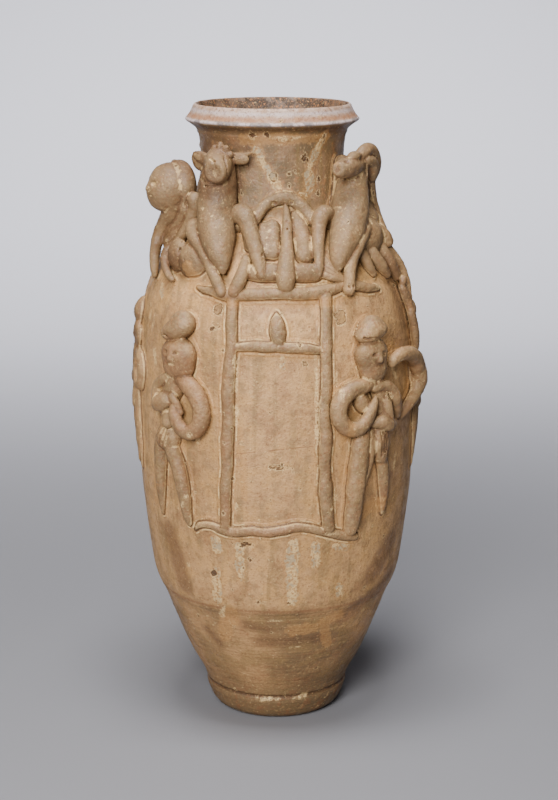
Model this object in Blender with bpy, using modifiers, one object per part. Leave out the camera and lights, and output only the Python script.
"""Ovoid stoneware jar with a coil-built door and figures, all fired as one body.

Positions on the wall are given as an azimuth (degrees from the front, positive to
the right), a height above the table and a lift outward from the outer surface.
"""

import math

import bmesh
import bpy
import numpy as np
from mathutils import Matrix
from mathutils import Vector

# Vessel heights, in metres above the table or from one level to the next
JAR_HEIGHT = 0.450
FOOT_HEIGHT = 0.020
BELLY_LEVEL = 0.230
NECK_HEIGHT = 0.050
LIP_HEIGHT = 0.018

# Vessel radii
BASE_RADIUS = 0.041
FOOT_RADIUS = 0.0528
BELLY_RADIUS = 0.101
NECK_RADIUS = 0.0512
LIP_RADIUS = 0.0622
MOUTH_RADIUS = 0.055

# Clay thicknesses and the sideways shift of the neck
WALL = 0.006
FLOOR = 0.012
RIM_FLAT = 0.0015
NECK_SHIFT = -0.0028

# Door on the front
DOOR_HEIGHT = 0.167
DOOR_WIDTH = 0.074
RAIL_DROP = 0.054
TOP_RAIL_THICKNESS = 0.0105
BOTTOM_RAIL_THICKNESS = 0.0085
POST_THICKNESS = 0.0095
LINTEL_THICKNESS = 0.0085
LINTEL_DROP = 0.0345
KNOB_LENGTH = 0.020
KNOB_THICKNESS = 0.0105
KNOB_AZIMUTH = 1.2

# Figures: overall heights, and levels measured from the door's rails
GUARD_HEIGHT = 0.156
SIDE_GUARD_HEIGHT = 0.128
SIDE_GUARD_RISE = 0.025
SIDE_GUARD_RELIEF = 0.45
BEAST_HEIGHT = 0.100
CENTRE_FIGURE_HEIGHT = 0.100
HOODED_FIGURE_HEIGHT = 0.100
WING_HEIGHT = 0.100

# Levels that follow from the heights
LIP_FOOT = JAR_HEIGHT - LIP_HEIGHT
NECK_FOOT = LIP_FOOT - NECK_HEIGHT
RAIL_LEVEL = NECK_FOOT - RAIL_DROP
DOOR_FOOT = RAIL_LEVEL - DOOR_HEIGHT
SIDE_GUARD_FOOT = DOOR_FOOT + SIDE_GUARD_RISE
DOOR_HALF_ANGLE = math.degrees(0.5 * DOOR_WIDTH / BELLY_RADIUS)

# Mesh resolution
TURNED_SEGMENTS = 32
INNER_RING_STRIDE = 3
FOOT_RINGS = 3
LIMB_SIDES_RESOLUTION = 1
COIL_STEP_DEGREES = 12.0
BALL_SEGMENTS = 8
BALL_RINGS = 4
MERGE_DISTANCE = 0.00002

# Share of the height between two levels, and share of the radius between two radii
LOWER_BODY_SHAPE = [
    (0.024, 0.008), (0.071, 0.127), (0.143, 0.288), (0.238, 0.467), (0.333, 0.629),
    (0.410, 0.769), (0.470, 0.833), (0.600, 0.912), (0.780, 0.975), (1.000, 1.000),
]
UPPER_BODY_SHAPE = [
    (0.230, 0.980), (0.420, 0.936), (0.540, 0.870), (0.625, 0.785), (0.700, 0.668),
    (0.775, 0.502), (0.842, 0.337), (0.915, 0.150), (1.000, 0.026),
]
NECK_FLARE = [(0.300, 0.000), (0.700, 0.005), (1.000, 0.245)]
UNDER_LIP_SHAPE = [(0.222, 0.682), (0.389, 1.000)]
LIP_BEVEL_SHAPE = [(0.500, 0.320), (0.778, 0.667), (1.000, 1.000)]

# Door coils as shares of the door's half width and of its height, hand-laid and uneven
TOP_RAIL_SHAPE = [(-1.70, 0.006), (-1.00, -0.008), (0.90, 0.001), (1.50, 0.020), (2.50, -0.018)]
BOTTOM_RAIL_SHAPE = [(-1.62, 0.000), (-1.28, 0.018), (-0.90, -0.002), (0.40, 0.024), (1.50, -0.036)]
LEFT_POST_SHAPE = [(-0.84, 1.000), (-0.83, 0.790), (-0.90, 0.550), (-1.00, 0.000)]
RIGHT_POST_SHAPE = [(1.09, 1.000), (0.98, 0.780), (0.92, 0.540), (0.94, 0.270), (1.03, 0.000)]
LINTEL_SHAPE = [(-0.72, -0.002), (0.80, -0.014)]
KNOB_SHAPE = [(0.00, 0.40), (0.35, 0.50), (0.75, 0.36), (1.00, 0.14)]

# Figures as shares of their own height: (across, up, outward, radius) along each limb
LEFT_GUARD_LIMBS = {
    "hat": [(0.066, 0.886, 0.030, 0.050), (0.080, 0.915, 0.032, 0.063),
            (0.102, 0.956, 0.032, 0.048), (0.112, 0.984, 0.026, 0.018)],
    "torso": [(0.070, 0.730, 0.014, 0.046), (0.050, 0.650, 0.014, 0.050),
              (0.015, 0.580, 0.014, 0.050), (0.000, 0.500, 0.014, 0.044)],
    "looped_arm": [(0.088, 0.690, 0.026, 0.034), (0.178, 0.632, 0.034, 0.042),
                   (0.216, 0.545, 0.036, 0.042), (0.198, 0.474, 0.040, 0.038),
                   (0.150, 0.449, 0.046, 0.034), (0.100, 0.486, 0.052, 0.032),
                   (0.080, 0.556, 0.054, 0.024)],
    "bent_arm": [(0.020, 0.672, 0.024, 0.032), (-0.048, 0.640, 0.028, 0.029),
                 (-0.066, 0.585, 0.034, 0.027), (-0.030, 0.550, 0.044, 0.034),
                 (0.040, 0.576, 0.048, 0.030)],
    "left_leg": [(-0.052, 0.400, 0.012, 0.040), (-0.062, 0.300, 0.012, 0.036),
                 (-0.071, 0.168, 0.012, 0.029), (-0.086, 0.020, 0.002, 0.013)],
    "right_leg": [(0.010, 0.400, 0.014, 0.042), (0.056, 0.280, 0.014, 0.039),
                  (0.084, 0.180, 0.013, 0.034), (0.099, 0.022, 0.004, 0.020)],
}
LEFT_GUARD_LUMPS = {
    "head": ((0.084, 0.784, 0.030), (0.075, 0.086, 0.056)),
    "sash": ((0.004, 0.406, 0.012), (0.068, 0.070, 0.048)),
}
RIGHT_GUARD_LIMBS = {
    "hat": [(-0.036, 0.884, 0.028, 0.058), (-0.030, 0.910, 0.032, 0.063),
            (-0.018, 0.938, 0.032, 0.042), (-0.006, 0.962, 0.026, 0.016)],
    "torso": [(-0.014, 0.690, 0.014, 0.042), (0.022, 0.590, 0.014, 0.044),
              (0.034, 0.480, 0.013, 0.042)],
    "looped_arm": [(-0.050, 0.658, 0.026, 0.032), (-0.146, 0.650, 0.034, 0.036),
                   (-0.210, 0.605, 0.036, 0.040), (-0.222, 0.520, 0.038, 0.039),
                   (-0.155, 0.470, 0.043, 0.035), (-0.088, 0.516, 0.052, 0.030),
                   (-0.050, 0.584, 0.052, 0.016)],
    "bent_arm": [(-0.030, 0.642, 0.030, 0.026), (0.056, 0.630, 0.040, 0.027),
                 (0.102, 0.566, 0.038, 0.030), (0.140, 0.486, 0.022, 0.020)],
    "staff": [(0.030, 0.600, 0.040, 0.020), (0.044, 0.520, 0.046, 0.024),
              (0.040, 0.462, 0.050, 0.032)],
    "sash": [(0.002, 0.446, 0.020, 0.042), (0.010, 0.385, 0.026, 0.044),
             (0.022, 0.318, 0.020, 0.036)],
    "left_leg": [(-0.082, 0.450, 0.014, 0.042), (-0.102, 0.320, 0.014, 0.046),
                 (-0.119, 0.150, 0.014, 0.044), (-0.126, 0.010, 0.009, 0.036)],
    "right_leg": [(0.030, 0.310, 0.014, 0.034), (0.056, 0.180, 0.011, 0.031),
                  (0.069, 0.040, 0.001, 0.015)],
}
RIGHT_GUARD_LUMPS = {
    "head": ((-0.030, 0.790, 0.028), (0.070, 0.088, 0.054)),
    "jaw": ((-0.020, 0.715, 0.024), (0.052, 0.066, 0.044)),
}
PLAIN_GUARD_LIMBS = {
    "hat": [(0.000, 0.900, 0.030, 0.058), (0.004, 0.968, 0.026, 0.034)],
    "torso": [(0.000, 0.720, 0.015, 0.050), (0.000, 0.500, 0.015, 0.052),
              (0.000, 0.400, 0.010, 0.066)],
    "left_arm": [(-0.042, 0.690, 0.028, 0.034), (-0.132, 0.600, 0.034, 0.040),
                 (-0.105, 0.510, 0.040, 0.037), (-0.018, 0.564, 0.052, 0.032)],
    "right_arm": [(0.042, 0.690, 0.028, 0.034), (0.132, 0.600, 0.034, 0.040),
                  (0.105, 0.510, 0.040, 0.037), (0.018, 0.564, 0.052, 0.032)],
    "left_leg": [(-0.034, 0.420, 0.014, 0.044), (-0.076, 0.030, 0.000, 0.020)],
    "right_leg": [(0.034, 0.420, 0.014, 0.044), (0.076, 0.030, 0.000, 0.020)],
}
PLAIN_GUARD_LUMPS = {
    "head": ((0.000, 0.790, 0.030), (0.074, 0.088, 0.058)),
}
LEFT_BEAST_LIMBS = {
    "trunk": [(0.054, 0.880, 0.140, 0.094), (0.040, 0.720, 0.140, 0.127),
              (0.038, 0.560, 0.148, 0.136), (0.067, 0.441, 0.150, 0.133),
              (0.155, 0.306, 0.136, 0.102), (0.232, 0.166, 0.090, 0.034)],
    "muzzle": [(0.070, 0.862, 0.180, 0.094), (0.110, 0.830, 0.236, 0.092),
               (0.124, 0.816, 0.270, 0.060)],
    "left_ear": [(-0.030, 0.884, 0.140, 0.044), (-0.150, 0.846, 0.130, 0.046),
                 (-0.268, 0.820, 0.116, 0.018)],
    "right_ear": [(0.110, 0.900, 0.140, 0.036), (0.180, 0.892, 0.108, 0.038),
                  (0.252, 0.926, 0.068, 0.012)],
    "back_web": [(0.030, 0.840, 0.050, 0.060), (0.030, 0.600, 0.050, 0.080),
                 (0.040, 0.440, 0.050, 0.110)],
    "left_foreleg": [(-0.160, 0.420, 0.116, 0.044), (-0.070, 0.335, 0.138, 0.050),
                     (0.080, 0.222, 0.104, 0.044), (0.246, 0.018, 0.044, 0.039)],
    "right_foreleg": [(0.286, 0.450, 0.066, 0.036), (0.300, 0.350, 0.060, 0.045),
                      (0.310, 0.260, 0.056, 0.036)],
    "right_paw": [(0.330, 0.216, 0.056, 0.046), (0.312, 0.120, 0.054, 0.054),
                  (0.264, 0.028, 0.040, 0.048)],
    "hind_leg": [(-0.300, 0.290, 0.062, 0.040), (-0.380, 0.190, 0.072, 0.036),
                 (-0.220, 0.048, 0.032, 0.021)],
}
LEFT_BEAST_LUMPS = {
    "crest_root": ((0.090, 0.914, 0.166), (0.088, 0.048, 0.036)),
    "crest_left": ((0.044, 0.944, 0.172), (0.028, 0.038, 0.028)),
    "crest_middle": ((0.092, 0.964, 0.174), (0.028, 0.040, 0.028)),
    "crest_right": ((0.136, 0.948, 0.172), (0.026, 0.036, 0.026)),
    "flank": ((-0.070, 0.178, 0.028), (0.130, 0.125, 0.080)),
    "haunch": ((-0.230, 0.196, 0.040), (0.110, 0.118, 0.070)),
}
RIGHT_BEAST_LIMBS = {
    "trunk": [(0.190, 0.810, 0.158, 0.086), (0.136, 0.640, 0.150, 0.115),
              (0.050, 0.460, 0.149, 0.132), (-0.123, 0.292, 0.124, 0.096),
              (-0.208, 0.166, 0.072, 0.034)],
    "snout": [(0.150, 0.820, 0.170, 0.072), (0.020, 0.812, 0.206, 0.068),
              (-0.066, 0.806, 0.216, 0.054)],
    "hood": [(0.170, 0.878, 0.195, 0.042), (0.285, 0.916, 0.212, 0.048),
             (0.410, 0.830, 0.226, 0.052), (0.436, 0.720, 0.214, 0.038)],
    "back_web": [(0.160, 0.820, 0.050, 0.060), (0.150, 0.600, 0.050, 0.080),
                 (0.100, 0.440, 0.050, 0.110)],
    "back_ridge": [(0.404, 0.710, 0.200, 0.037), (0.426, 0.520, 0.190, 0.045),
                   (0.396, 0.330, 0.150, 0.056)],
    "back_fill": [(0.330, 0.700, 0.120, 0.068), (0.325, 0.540, 0.108, 0.092),
                  (0.300, 0.420, 0.100, 0.108)],
    "lower_knob": [(0.330, 0.352, 0.160, 0.046), (0.376, 0.316, 0.158, 0.050),
                   (0.404, 0.262, 0.136, 0.044)],
    "foreleg": [(0.180, 0.425, 0.154, 0.046), (0.080, 0.360, 0.172, 0.058),
                (-0.040, 0.276, 0.148, 0.053), (-0.125, 0.163, 0.096, 0.043),
                (-0.188, 0.018, 0.050, 0.042)],
}
RIGHT_BEAST_LUMPS = {
    "crown": ((0.086, 0.884, 0.206), (0.064, 0.040, 0.044)),
    "inner_hood": ((0.290, 0.800, 0.180), (0.110, 0.110, 0.090)),
    "rump": ((0.200, 0.300, 0.070), (0.160, 0.150, 0.110)),
}
PLAIN_BEAST_LIMBS = {
    "trunk": [(0.000, 0.870, 0.130, 0.092), (0.000, 0.520, 0.150, 0.134),
              (0.000, 0.180, 0.066, 0.084)],
    "muzzle": [(0.000, 0.882, 0.165, 0.090), (0.000, 0.867, 0.228, 0.070)],
    "back_web": [(0.000, 0.820, 0.050, 0.070), (0.000, 0.440, 0.050, 0.110)],
    "left_foreleg": [(-0.110, 0.430, 0.135, 0.050), (-0.130, 0.280, 0.110, 0.049),
                     (-0.150, 0.018, 0.035, 0.046)],
    "right_foreleg": [(0.110, 0.430, 0.135, 0.050), (0.130, 0.280, 0.110, 0.049),
                      (0.150, 0.018, 0.035, 0.046)],
}
PLAIN_BEAST_LUMPS = {
    "left_haunch": ((-0.220, 0.170, 0.026), (0.115, 0.125, 0.080)),
    "right_haunch": ((0.220, 0.170, 0.026), (0.115, 0.125, 0.080)),
}
CENTRE_FIGURE_LIMBS = {
    "shoulder_arch": [(-0.170, 0.436, 0.080, 0.036), (-0.128, 0.506, 0.062, 0.040),
                      (-0.060, 0.580, 0.036, 0.042), (0.046, 0.608, 0.026, 0.045),
                      (0.152, 0.574, 0.036, 0.044), (0.220, 0.506, 0.060, 0.042),
                      (0.262, 0.442, 0.078, 0.035)],
    "droplet": [(0.064, 0.545, 0.046, 0.018), (0.066, 0.400, 0.064, 0.036),
                (0.050, 0.230, 0.066, 0.053), (0.038, 0.098, 0.060, 0.067)],
    "left_knee": [(-0.284, 0.430, 0.040, 0.052), (-0.282, 0.498, 0.096, 0.070),
                  (-0.226, 0.480, 0.136, 0.068), (-0.172, 0.330, 0.116, 0.054),
                  (-0.127, 0.140, 0.058, 0.034)],
    "right_knee": [(0.406, 0.430, 0.040, 0.046), (0.372, 0.496, 0.100, 0.060),
                   (0.306, 0.464, 0.126, 0.056), (0.284, 0.350, 0.108, 0.045),
                   (0.274, 0.128, 0.048, 0.026)],
    "paw": [(0.322, 0.180, 0.036, 0.046), (0.386, 0.128, 0.048, 0.042),
            (0.446, 0.084, 0.038, 0.022)],
}
CENTRE_FIGURE_LUMPS = {
    "left_lobe": ((-0.070, 0.325, 0.006), (0.092, 0.155, 0.052)),
    "right_lobe": ((0.164, 0.345, 0.010), (0.074, 0.170, 0.070)),
    "left_pad": ((-0.095, 0.134, 0.016), (0.140, 0.070, 0.058)),
    "right_pad": ((0.160, 0.132, 0.016), (0.135, 0.070, 0.058)),
}
HOODED_FIGURE_LIMBS = {
    "front_stem": [(0.070, 0.540, 0.240, 0.086), (-0.020, 0.412, 0.205, 0.062),
                   (-0.060, 0.290, 0.156, 0.048), (0.020, 0.070, 0.052, 0.028)],
    "back_stem": [(0.230, 0.590, 0.180, 0.050), (0.214, 0.500, 0.156, 0.044),
                  (0.172, 0.398, 0.116, 0.041), (0.108, 0.292, 0.062, 0.030)],
    "body": [(0.120, 0.560, 0.130, 0.062), (0.080, 0.420, 0.090, 0.076),
             (0.020, 0.260, 0.040, 0.084)],
}
HOODED_FIGURE_LUMPS = {
    "hood": ((0.050, 0.668, 0.225), (0.178, 0.178, 0.150)),
    "face": ((0.050, 0.630, 0.305), (0.138, 0.142, 0.122)),
}
WING_LIMBS = {
    "finger_1": [(-0.170, 0.300, 0.080, 0.044), (-0.156, 0.142, 0.040, 0.036),
                 (-0.122, 0.078, 0.014, 0.026)],
    "finger_2": [(-0.080, 0.300, 0.086, 0.050), (-0.030, 0.130, 0.050, 0.042),
                 (0.040, 0.050, 0.020, 0.030)],
    "finger_3": [(0.040, 0.300, 0.086, 0.050), (0.112, 0.114, 0.060, 0.044),
                 (0.176, 0.020, 0.034, 0.034)],
    "finger_4": [(0.130, 0.290, 0.078, 0.048), (0.248, 0.100, 0.068, 0.046),
                 (0.286, -0.080, 0.038, 0.040), (0.276, -0.170, 0.028, 0.036)],
    "palm": [(-0.150, 0.310, 0.070, 0.056), (0.070, 0.315, 0.080, 0.062)],
    "strip": [(0.196, -0.050, 0.040, 0.037), (0.246, -0.240, 0.042, 0.038),
              (0.290, -0.430, 0.044, 0.037), (0.350, -0.580, 0.016, 0.028)],
}
SIDE_ARM_LIMBS = {
    "hook": [(-0.446, 0.705, 0.040, 0.029), (-0.392, 0.734, 0.056, 0.037),
             (-0.302, 0.722, 0.058, 0.042), (-0.200, 0.668, 0.056, 0.047),
             (-0.136, 0.565, 0.054, 0.047), (-0.190, 0.460, 0.038, 0.036),
             (-0.318, 0.374, 0.003, 0.022)],
}


def spread(low_level, high_level, low_radius, high_radius, shape):
    """Turn shares of height and radius into (height, radius) pairs."""
    return [
        (low_level + up * (high_level - low_level),
         low_radius + swell * (high_radius - low_radius))
        for up, swell in shape
    ]


def foot_outline():
    """Rounded foot ring, from the standing face out to its widest place."""
    points = []
    for ring in range(FOOT_RINGS + 1):
        share = ring / FOOT_RINGS
        swell = (1.0 - (1.0 - share) ** 2) ** 0.75
        radius = BASE_RADIUS + swell * (FOOT_RADIUS - BASE_RADIUS)
        points.append((share * FOOT_HEIGHT, radius))
    return points


def outer_outline():
    """Outer surface from the table to the top of the rim, as (height, radius)."""
    lip_edge_share = UNDER_LIP_SHAPE[-1][0]
    return (
        foot_outline()
        + spread(FOOT_HEIGHT, BELLY_LEVEL, FOOT_RADIUS, BELLY_RADIUS, LOWER_BODY_SHAPE)
        + spread(BELLY_LEVEL, NECK_FOOT, NECK_RADIUS, BELLY_RADIUS, UPPER_BODY_SHAPE)
        + spread(NECK_FOOT, LIP_FOOT, NECK_RADIUS, LIP_RADIUS, NECK_FLARE)
        + spread(LIP_FOOT, JAR_HEIGHT, NECK_RADIUS, LIP_RADIUS, UNDER_LIP_SHAPE)
        + [
            (LIP_FOOT + up * LIP_HEIGHT, LIP_RADIUS - fall * (LIP_RADIUS - MOUTH_RADIUS))
            for up, fall in LIP_BEVEL_SHAPE
            if up > lip_edge_share
        ]
    )


OUTER = outer_outline()
OUTER_LEVELS = [level for level, radius in OUTER]
OUTER_RADII = [radius for level, radius in OUTER]


def outer_radius(level):
    return float(np.interp(level, OUTER_LEVELS, OUTER_RADII))


def lean(level):
    """Sideways shift of the vessel's axis, which starts above the belly."""
    share = (level - BELLY_LEVEL) / (NECK_FOOT + 0.5 * NECK_HEIGHT - BELLY_LEVEL)
    share = min(max(share, 0.0), 1.0)
    return NECK_SHIFT * share * share * (3.0 - 2.0 * share)


def inner_radius(level):
    """Inner surface of the belly, one wall inside the outer one, square to it."""
    step = 0.004
    slope = (outer_radius(level + step) - outer_radius(level - step)) / (2.0 * step)
    return outer_radius(level) - WALL * math.sqrt(1.0 + slope * slope)


def inner_outline():
    """Inner surface from the middle of the floor up to the rim."""
    floor_edge = FLOOR + WALL
    neck_radius = NECK_RADIUS - WALL
    neck_top = LIP_FOOT - 0.5 * LIP_HEIGHT
    corner_radius = inner_radius(floor_edge + WALL)
    points = [(FLOOR, 0.0), (FLOOR, 0.55 * corner_radius), (floor_edge, 0.9 * corner_radius)]
    for level, radius in OUTER[::INNER_RING_STRIDE]:
        if floor_edge + WALL <= level < NECK_FOOT:
            points.append((level, max(inner_radius(level), neck_radius)))
    points.append((NECK_FOOT, neck_radius))
    points.append((0.5 * (NECK_FOOT + neck_top), neck_radius))
    points.append((neck_top, neck_radius))
    points.append((0.5 * (neck_top + JAR_HEIGHT), neck_radius + 0.4 * (MOUTH_RADIUS - neck_radius)))
    points.append((JAR_HEIGHT, MOUTH_RADIUS - RIM_FLAT))
    return points


def wall_point(azimuth, level, lift, across=0.0):
    """World position off the wall; across is an arc length at that distance."""
    radius = outer_radius(level) + lift
    angle = math.radians(azimuth) + across / radius
    return Vector((radius * math.sin(angle) + lean(level), -radius * math.cos(angle), level))


def new_collection(name, hidden=False):
    collection = bpy.data.collections.new(name)
    bpy.context.scene.collection.children.link(collection)
    collection.hide_render = hidden
    return collection


def add_operand(mesh, name, clay_parts):
    """Put a mesh among the clay parts that are joined to the vessel."""
    part = bpy.data.objects.new(name, mesh)
    part.hide_render = True
    part.display_type = "WIRE"
    clay_parts.objects.link(part)
    return part


def rounded_tip(end, inside):
    """Smaller ring beyond the end of a roll of clay."""
    tip = end.copy()
    way = end[:3] - inside[:3]
    tip[:3] += way / np.linalg.norm(way) * end[3] * 0.75
    tip[3] *= 0.6
    return tip


def add_limb(name, centres, radii, clay_parts, rounded=False):
    """Tapered roll of clay along a line of centres."""
    stations = [np.array([*centre, radius]) for centre, radius in zip(centres, radii)]
    if rounded:
        first_tip = rounded_tip(stations[0], stations[1])
        last_tip = rounded_tip(stations[-1], stations[-2])
        stations = [first_tip] + stations + [last_tip]

    line = bpy.data.curves.new(name, "CURVE")
    line.dimensions = "3D"
    line.bevel_depth = 1.0
    line.bevel_resolution = LIMB_SIDES_RESOLUTION
    line.use_fill_caps = True
    spline = line.splines.new("POLY")
    spline.points.add(len(stations) - 1)
    for point, station in zip(spline.points, stations):
        point.co = (*station[:3], 1.0)
        point.radius = station[3]
    guide = bpy.data.objects.new(name + "_line", line)
    bpy.context.scene.collection.objects.link(guide)
    bpy.context.view_layer.update()
    evaluated = guide.evaluated_get(bpy.context.evaluated_depsgraph_get())
    mesh = bpy.data.meshes.new_from_object(evaluated)
    bpy.data.objects.remove(guide)
    shape = bmesh.new()
    shape.from_mesh(mesh)
    bmesh.ops.remove_doubles(shape, verts=shape.verts, dist=MERGE_DISTANCE)
    bmesh.ops.recalc_face_normals(shape, faces=shape.faces)
    shape.to_mesh(mesh)
    shape.free()
    return add_operand(mesh, name, clay_parts)


def add_ball(name, azimuth, centre, radii, clay_parts):
    """Ellipsoid of clay whose outward axis follows the azimuth."""
    shape = bmesh.new()
    bmesh.ops.create_uvsphere(shape, u_segments=BALL_SEGMENTS, v_segments=BALL_RINGS, radius=1.0)
    across, upward, outward = radii
    turn = Matrix.Rotation(math.radians(azimuth), 4, "Z")
    size = Matrix.Diagonal((across, outward, upward, 1.0))
    bmesh.ops.transform(shape, matrix=Matrix.Translation(centre) @ turn @ size, verts=shape.verts)
    mesh = bpy.data.meshes.new(name)
    shape.to_mesh(mesh)
    shape.free()
    return add_operand(mesh, name, clay_parts)


def add_figure(name, azimuth, foot, height, limbs, lumps, clay_parts, relief=1.0):
    """Place a figure's limbs and lumps; a low relief sinks them into the wall."""
    for limb, joints in limbs.items():
        centres = []
        radii = []
        for across, upward, outward, radius in joints:
            lift = outward * relief - (1.0 - relief) * 0.7 * radius
            level = foot + upward * height
            centres.append(wall_point(azimuth, level, lift * height, across * height))
            radii.append(radius * height)
        add_limb(f"{name}_{limb}", centres, radii, clay_parts)
    for lump, (place, size) in lumps.items():
        across, upward, outward = place
        level = foot + upward * height
        lift = outward * relief * height
        centre = wall_point(azimuth, level, lift, across * height)
        facing = math.degrees(math.atan2(centre.x - lean(level), -centre.y))
        radii = (size[0] * height, size[1] * height, size[2] * relief * height)
        add_ball(f"{name}_{lump}", facing, centre, radii, clay_parts)


def bent_to_wall(route):
    """Add points to an (azimuth, level) route so that it bends with the wall."""
    points = [route[0]]
    for (start, low), (end, high) in zip(route, route[1:]):
        count = max(1, math.ceil(abs(end - start) / COIL_STEP_DEGREES))
        for number in range(1, count + 1):
            share = number / count
            points.append((start + share * (end - start), low + share * (high - low)))
    return points


def add_coil(name, shape, level, thickness, clay_parts):
    """Roll of clay pressed on the wall, from a shape in shares of the door."""
    sink = 0.1 * thickness
    centres = []
    for azimuth, height in bent_to_wall([
        (side * DOOR_HALF_ANGLE, level + rise * DOOR_HEIGHT) for side, rise in shape
    ]):
        centres.append(wall_point(azimuth, height, -sink))
    add_limb(name, centres, [0.5 * thickness] * len(centres), clay_parts, rounded=True)


def add_door(clay_parts):
    """Door frame of coils: two rails, two posts, a lintel and its bud knob."""
    lintel_level = RAIL_LEVEL - LINTEL_DROP
    add_coil("top_rail", TOP_RAIL_SHAPE, RAIL_LEVEL, TOP_RAIL_THICKNESS, clay_parts)
    add_coil("bottom_rail", BOTTOM_RAIL_SHAPE, DOOR_FOOT, BOTTOM_RAIL_THICKNESS, clay_parts)
    add_coil("left_post", LEFT_POST_SHAPE, DOOR_FOOT, POST_THICKNESS, clay_parts)
    add_coil("right_post", RIGHT_POST_SHAPE, DOOR_FOOT, POST_THICKNESS, clay_parts)
    add_coil("lintel", LINTEL_SHAPE, lintel_level, LINTEL_THICKNESS, clay_parts)

    knob_foot = lintel_level + 0.3 * LINTEL_THICKNESS
    centres = [
        wall_point(KNOB_AZIMUTH, knob_foot + rise * KNOB_LENGTH, 0.0) for rise, swell in KNOB_SHAPE
    ]
    radii = [swell * KNOB_THICKNESS for rise, swell in KNOB_SHAPE]
    add_limb("bud_knob", centres, radii, clay_parts)


def add_figures(clay_parts):
    """All figures of the belly and the shoulder, front ones first."""
    for name, azimuth, foot, height, limbs, lumps, relief in (
        ("left_guard", -47.0, DOOR_FOOT, GUARD_HEIGHT,
         LEFT_GUARD_LIMBS, LEFT_GUARD_LUMPS, 1.0),
        ("right_guard", 43.0, DOOR_FOOT, GUARD_HEIGHT,
         RIGHT_GUARD_LIMBS, RIGHT_GUARD_LUMPS, 1.0),
        ("left_side_guard", -80.0, SIDE_GUARD_FOOT, SIDE_GUARD_HEIGHT,
         PLAIN_GUARD_LIMBS, PLAIN_GUARD_LUMPS, SIDE_GUARD_RELIEF),
        ("right_side_guard", 83.0, SIDE_GUARD_FOOT, SIDE_GUARD_HEIGHT,
         PLAIN_GUARD_LIMBS, PLAIN_GUARD_LUMPS, SIDE_GUARD_RELIEF),
        ("right_side_arm", 83.0, SIDE_GUARD_FOOT, SIDE_GUARD_HEIGHT,
         SIDE_ARM_LIMBS, {}, 1.0),
        ("left_back_guard", -126.0, SIDE_GUARD_FOOT, SIDE_GUARD_HEIGHT,
         PLAIN_GUARD_LIMBS, PLAIN_GUARD_LUMPS, SIDE_GUARD_RELIEF),
        ("right_back_guard", 130.0, SIDE_GUARD_FOOT, SIDE_GUARD_HEIGHT,
         PLAIN_GUARD_LIMBS, PLAIN_GUARD_LUMPS, SIDE_GUARD_RELIEF),
        ("left_beast", -38.0, RAIL_LEVEL, BEAST_HEIGHT,
         LEFT_BEAST_LIMBS, LEFT_BEAST_LUMPS, 1.0),
        ("right_beast", 45.0, RAIL_LEVEL, BEAST_HEIGHT,
         RIGHT_BEAST_LIMBS, RIGHT_BEAST_LUMPS, 1.0),
        ("left_back_beast", -140.0, RAIL_LEVEL, BEAST_HEIGHT,
         PLAIN_BEAST_LIMBS, PLAIN_BEAST_LUMPS, 1.0),
        ("right_back_beast", 142.0, RAIL_LEVEL, BEAST_HEIGHT,
         PLAIN_BEAST_LIMBS, PLAIN_BEAST_LUMPS, 1.0),
        ("centre_figure", 3.0, RAIL_LEVEL, CENTRE_FIGURE_HEIGHT,
         CENTRE_FIGURE_LIMBS, CENTRE_FIGURE_LUMPS, 1.0),
        ("hooded_figure", -70.0, RAIL_LEVEL, HOODED_FIGURE_HEIGHT,
         HOODED_FIGURE_LIMBS, HOODED_FIGURE_LUMPS, 1.0),
        ("wing", 62.0, RAIL_LEVEL, WING_HEIGHT, WING_LIMBS, {}, 1.0),
    ):
        add_figure(name, azimuth, foot, height, limbs, lumps, clay_parts, relief)


def stoneware_material():
    material = bpy.data.materials.new("ash_glazed_stoneware")
    material.use_nodes = True
    shader = material.node_tree.nodes["Principled BSDF"]
    shader.inputs["Base Color"].default_value = (0.33, 0.235, 0.150, 1.0)
    shader.inputs["Roughness"].default_value = 0.5
    shader.inputs["Metallic"].default_value = 0.0
    return material


def turn_vessel():
    """Turn the hollow vessel from its closed outline and lean its neck."""
    points = inner_outline() + list(reversed(OUTER)) + [(0.0, 0.0)]
    outline = bpy.data.meshes.new("vessel_outline")
    edges = [(number, number + 1) for number in range(len(points) - 1)]
    outline.from_pydata([(radius, 0.0, level) for level, radius in points], edges, [])
    blank = bpy.data.objects.new("vessel_blank", outline)
    bpy.context.scene.collection.objects.link(blank)
    screw = blank.modifiers.new("turning", "SCREW")
    screw.steps = TURNED_SEGMENTS
    screw.render_steps = TURNED_SEGMENTS
    screw.use_merge_vertices = True
    screw.merge_threshold = MERGE_DISTANCE
    bpy.context.view_layer.update()
    evaluated = blank.evaluated_get(bpy.context.evaluated_depsgraph_get())
    mesh = bpy.data.meshes.new_from_object(evaluated)
    bpy.data.objects.remove(blank)
    for vertex in mesh.vertices:
        vertex.co.x += lean(vertex.co.z)
    mesh.name = "jar"
    return mesh


def build_jar():
    jar_collection = new_collection("ovoid_jar")
    clay_parts = new_collection("clay_parts", hidden=True)
    add_door(clay_parts)
    add_figures(clay_parts)

    jar = bpy.data.objects.new("jar", turn_vessel())
    jar_collection.objects.link(jar)
    joining = jar.modifiers.new("joined_clay", "BOOLEAN")
    joining.operation = "UNION"
    joining.solver = "EXACT"
    joining.operand_type = "COLLECTION"
    joining.collection = clay_parts
    joining.use_self = True
    jar.data.materials.append(stoneware_material())
    jar.data.shade_smooth()
    jar.data.set_sharp_from_angle(angle=math.radians(40.0))
    return jar


for old_object in list(bpy.data.objects):
    bpy.data.objects.remove(old_object)
build_jar()
